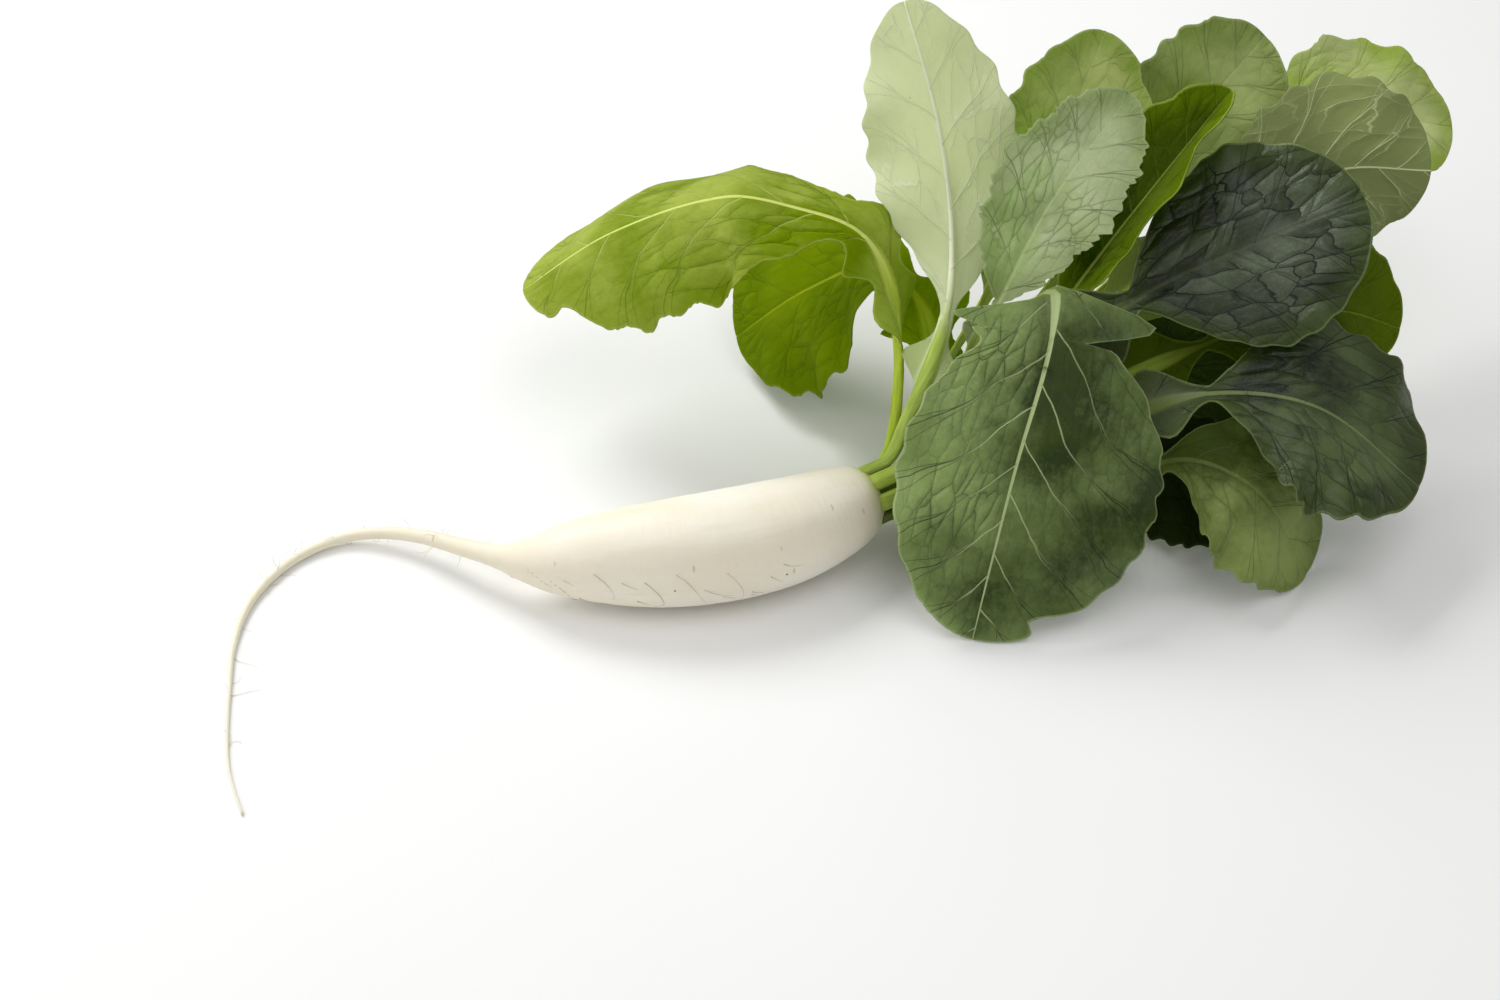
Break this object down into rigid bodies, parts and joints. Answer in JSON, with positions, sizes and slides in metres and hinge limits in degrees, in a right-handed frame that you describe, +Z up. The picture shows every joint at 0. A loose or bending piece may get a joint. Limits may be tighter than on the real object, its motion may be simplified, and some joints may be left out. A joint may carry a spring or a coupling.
{
  "type": "icicle radish",
  "caption": "Long white tapering radish root with a thin curling tail and its full head of stalked, wavy-edged green leaves, as picked, lying on a surface.",
  "frame": {"origin": "middle of the small flat spot under the root's belly, on the surface it lies on", "axes": "+Z up from the surface, +X from the tail towards the leaves along the longest side, +Y away from the side that faces a viewer"},
  "size_m": [0.3284, 0.2122, 0.1225],
  "materials": {
    "radish_skin": "satin",
    "leaf_green": "satin"
  },
  "bodies": {
    "root": {"taproot": "radish_skin", "leaf_front": "leaf_green", "leaf_left": "leaf_green", "leaf_rear": "leaf_green", "leaf_tall": "leaf_green", "leaf_toothed": "leaf_green", "leaf_folded": "leaf_green", "leaf_back": "leaf_green", "leaf_round": "leaf_green", "leaf_veined": "leaf_green", "leaf_far": "leaf_green", "leaf_top": "leaf_green", "leaf_low": "leaf_green", "leaf_glossy": "leaf_green", "leaf_under": "leaf_green", "leaf_shaded": "leaf_green", "leaf_resting": "leaf_green"}
  },
  "joints": []
}
